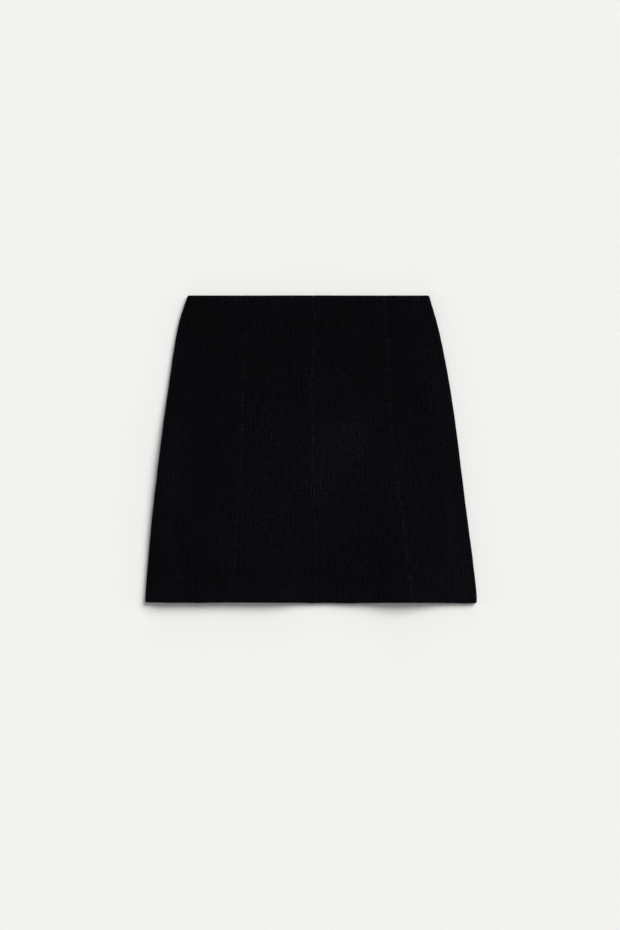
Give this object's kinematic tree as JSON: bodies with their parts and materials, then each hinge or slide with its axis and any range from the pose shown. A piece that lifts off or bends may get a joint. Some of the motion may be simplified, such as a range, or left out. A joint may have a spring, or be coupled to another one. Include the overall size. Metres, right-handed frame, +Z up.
{
  "type": "mini skirt",
  "caption": "Short A-line skirt in ribbed black corduroy, laid flat front up, with a panelled front, clean waist edge, turned hem and a concealed back zip whose pull tab swings.",
  "frame": {"origin": "on the surface the skirt lies on, under the middle of its outline", "axes": "+Z up through the front of the skirt, +Y towards the waist edge, +X to the right as seen from above"},
  "size_m": [0.453, 0.42, 0.015],
  "materials": {
    "corduroy": "soft ribbed pile",
    "zip_tape": "woven tape",
    "zip_metal": "satin black enamel"
  },
  "bodies": {
    "skirt": {"front_side_left": "corduroy", "front_centre_left": "corduroy", "front_centre_right": "corduroy", "front_side_right": "corduroy", "back_left": "corduroy", "back_right": "corduroy", "zip_chain": "zip_tape", "zip_slider": "zip_metal"},
    "zip_tab": {"zip_tab": "zip_metal"}
  },
  "joints": [
    {"name": "zip_tab_hinge", "type": "hinge", "parent": "skirt", "child": "zip_tab", "pos_m": [-0.00995, 0.196, 0.00115], "axis": [1, 0, 0], "range_deg": [0, 150]}
  ]
}
